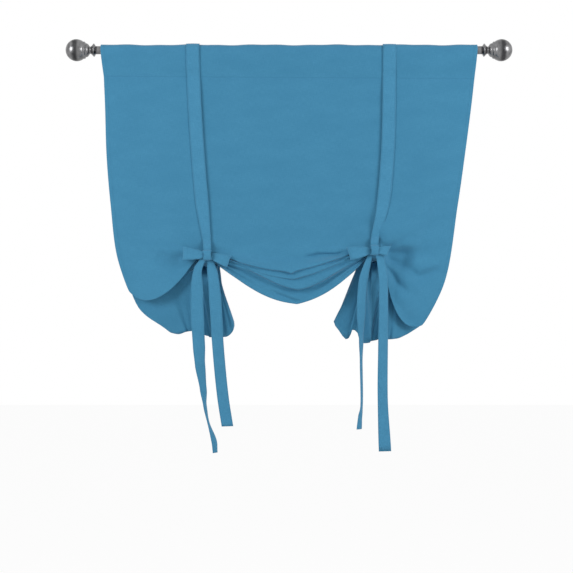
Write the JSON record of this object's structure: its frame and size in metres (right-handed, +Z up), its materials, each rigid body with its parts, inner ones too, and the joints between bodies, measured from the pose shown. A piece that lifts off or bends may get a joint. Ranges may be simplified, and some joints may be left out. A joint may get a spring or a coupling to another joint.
{
  "type": "tie up curtain",
  "caption": "Tie up curtain on a rod: one cloth panel with a rod pocket, gathered by ties in two bows into a swag between two lobes.",
  "frame": {"origin": "middle of the rod's length, on its axis", "axes": "+X along the rod to the right as seen from the front, -Y towards the viewer, +Z up"},
  "size_m": [1.268, 0.1039, 1.1689],
  "materials": {
    "curtain_cloth": "plain woven polyester, matt, mid blue",
    "tie_cloth": "the same cloth, doubled and sewn as a flat strap",
    "rod_metal": "pewter lacquer over steel tube",
    "finial_metal": "antique pewter with a worn bright edge"
  },
  "bodies": {
    "root": {"curtain_panel": "curtain_cloth", "left_front_tie": "tie_cloth", "left_back_tie": "tie_cloth", "right_front_tie": "tie_cloth", "right_back_tie": "tie_cloth", "rod_tube": "rod_metal", "left_finial": "finial_metal", "right_finial": "finial_metal"}
  },
  "joints": []
}
